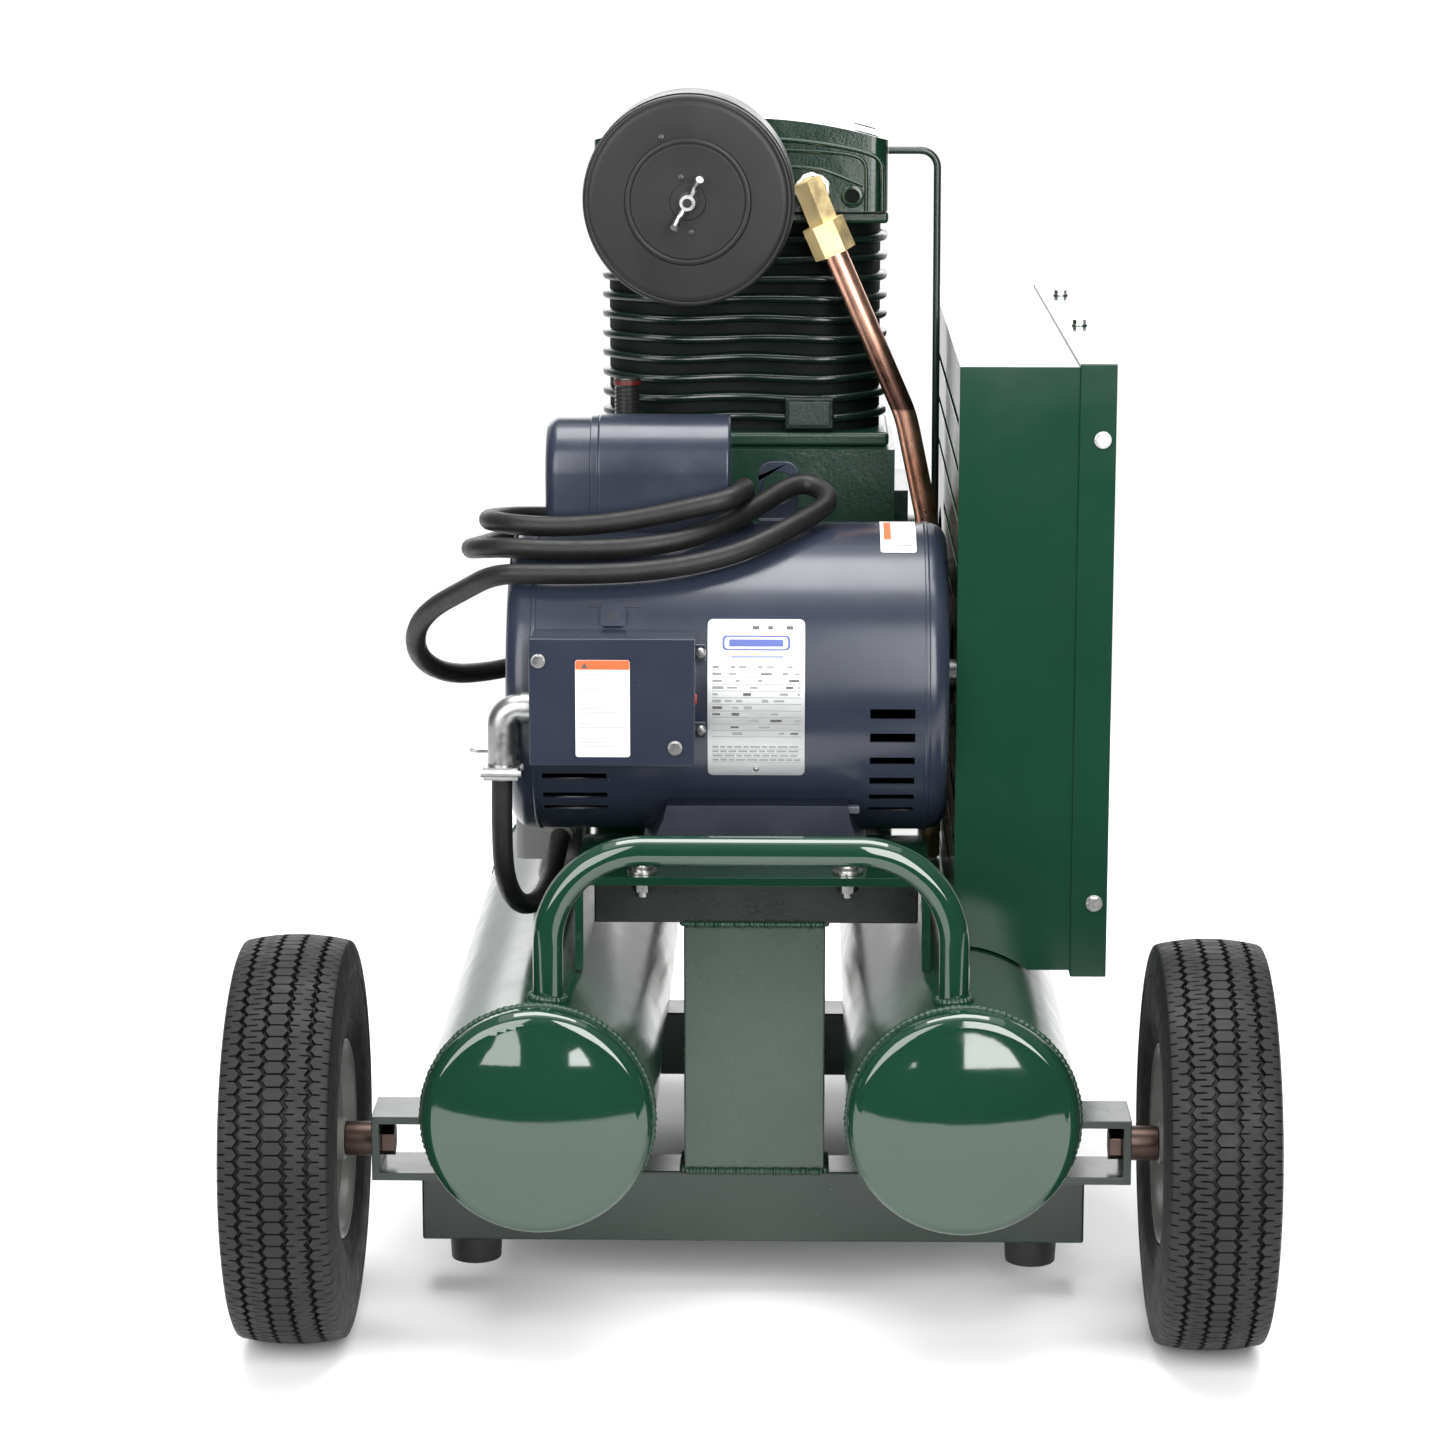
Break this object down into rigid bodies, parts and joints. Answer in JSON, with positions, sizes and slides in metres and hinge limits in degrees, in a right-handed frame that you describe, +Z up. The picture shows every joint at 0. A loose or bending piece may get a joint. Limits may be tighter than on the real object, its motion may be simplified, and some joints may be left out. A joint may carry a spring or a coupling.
{
  "type": "air compressor",
  "caption": "Portable twin-tank electric air compressor with belt-driven piston pump, belt guard, wheels, carrying handle and coiled supply cord.",
  "frame": {"origin": "middle of the footprint on the floor", "axes": "+Z up; -Y towards the wheel and handle end; +X towards the belt guard"},
  "size_m": [0.656, 0.766, 0.778],
  "materials": {
    "green_paint": "gloss enamel on steel sheet and tube",
    "pump_paint": "gloss enamel on rough castings",
    "motor_paint": "gloss enamel",
    "filter_paint": "satin black",
    "tyre_rubber": "matte moulded tread",
    "rim_paint": "grey enamel",
    "foot_rubber": "matte",
    "zinc_steel": "bright zinc plate",
    "dark_steel": "oiled steel",
    "cast_pulley": "machined cast iron",
    "brass": "satin machined",
    "copper": "drawn copper tube, satin",
    "switch_grey": "grey moulding",
    "black_plastic": "satin moulding",
    "red_plastic": "gloss moulding",
    "plate_metal": "satin sheet",
    "diecast": "satin die casting",
    "cord_rubber": "matte jacket",
    "belt_rubber": "matte fabric-faced rubber",
    "laminate": "stacked steel sheet"
  },
  "bodies": {
    "frame": {"left_tank_shell": "green_paint", "right_tank_shell": "green_paint", "tank_heads": "green_paint", "crossmembers": "green_paint", "front_post": "green_paint", "deck_beam": "green_paint", "deck_plate": "green_paint", "tank_handle": "green_paint", "axle_brackets": "green_paint", "axle_bolts": "zinc_steel", "rubber_feet": "foot_rubber", "crossover_pipe": "green_paint", "manifold": "diecast", "pressure_gauge": "dark_steel", "safety_valve": "brass", "outlet_valve": "brass", "pressure_switch": "switch_grey", "discharge_tube": "copper", "discharge_fittings": "brass", "brace_rod": "green_paint", "motor_shell": "motor_paint", "motor_end_bells": "motor_paint", "motor_base": "motor_paint", "motor_stator": "laminate", "shaft_bearings": "zinc_steel", "terminal_box": "motor_paint", "terminal_box_cover": "motor_paint", "capacitor_cover": "motor_paint", "start_capacitor": "black_plastic", "nameplate": "plate_metal", "lifting_lug": "motor_paint", "drive_belt": "belt_rubber", "crankcase": "pump_paint", "cylinder_block": "pump_paint", "pistons": "diecast", "pump_head": "pump_paint", "oil_filler": "black_plastic", "filter_base": "filter_paint", "filter_canister": "filter_paint", "guard_pan": "green_paint", "guard_cover": "green_paint", "fasteners": "zinc_steel", "cable_connector": "diecast", "motor_lead": "cord_rubber", "supply_cord": "cord_rubber", "supply_plug": "cord_rubber"},
    "left_wheel": {"left_tyre": "tyre_rubber", "left_rim": "rim_paint"},
    "right_wheel": {"right_tyre": "tyre_rubber", "right_rim": "rim_paint"},
    "motor_shaft": {"motor_rotor": "dark_steel", "motor_pulley": "cast_pulley"},
    "pump_crank": {"crankshaft": "dark_steel", "flywheel": "cast_pulley"},
    "drain_cock_handle": {"drain_handle": "brass"},
    "safety_pull": {"safety_valve_ring": "zinc_steel"},
    "outlet_handle": {"outlet_valve_handle": "zinc_steel"},
    "switch_lever": {"pressure_switch_lever": "black_plastic"},
    "reset_button": {"reset_button": "red_plastic"},
    "wing_nut": {"filter_wing_nut": "zinc_steel"}
  },
  "joints": [
    {"name": "left_wheel_spin", "type": "hinge", "parent": "frame", "child": "left_wheel", "pos_m": [-0.2895, -0.253, 0.13], "axis": [1, 0, 0], "continuous": true},
    {"name": "right_wheel_spin", "type": "hinge", "parent": "frame", "child": "right_wheel", "pos_m": [0.2895, -0.253, 0.13], "axis": [1, 0, 0], "continuous": true},
    {"name": "pump_spin", "type": "hinge", "parent": "frame", "child": "pump_crank", "pos_m": [0.161, 0.182, 0.42], "axis": [1, 0, 0], "continuous": true},
    {"name": "motor_spin", "type": "hinge", "parent": "frame", "child": "motor_shaft", "pos_m": [0.161, -0.078, 0.398], "axis": [1, 0, 0], "continuous": true},
    {"name": "drain_cock_turn", "type": "hinge", "parent": "frame", "child": "drain_cock_handle", "pos_m": [0, 0.268, 0.117], "axis": [0, 1, 0], "range_deg": [0, 90]},
    {"name": "safety_pull_slide", "type": "slide", "parent": "frame", "child": "safety_pull", "axis": [0, 0, 1], "range_m": [0, 0.003], "stiffness_N_per_m": 800, "springref_m": -0.003},
    {"name": "outlet_handle_turn", "type": "hinge", "parent": "frame", "child": "outlet_handle", "pos_m": [-0.15, 0.248, 0.276], "axis": [0, 0, 1], "range_deg": [-90, 0]},
    {"name": "switch_lever_turn", "type": "hinge", "parent": "frame", "child": "switch_lever", "pos_m": [-0.178, 0.053, 0.318], "axis": [1, 0, 0], "range_deg": [0, 60]},
    {"name": "reset_press", "type": "slide", "parent": "frame", "child": "reset_button", "axis": [-1, 0, 0], "range_m": [0, 0.003], "stiffness_N_per_m": 200},
    {"name": "wing_nut_turn", "type": "hinge", "parent": "frame", "child": "wing_nut", "pos_m": [-0.046, -0.033, 0.707], "axis": [0, 1, 0], "continuous": true}
  ],
  "couplings": [
    {"joint": "motor_spin", "follows": "pump_spin", "ratio": 3.5275}
  ]
}
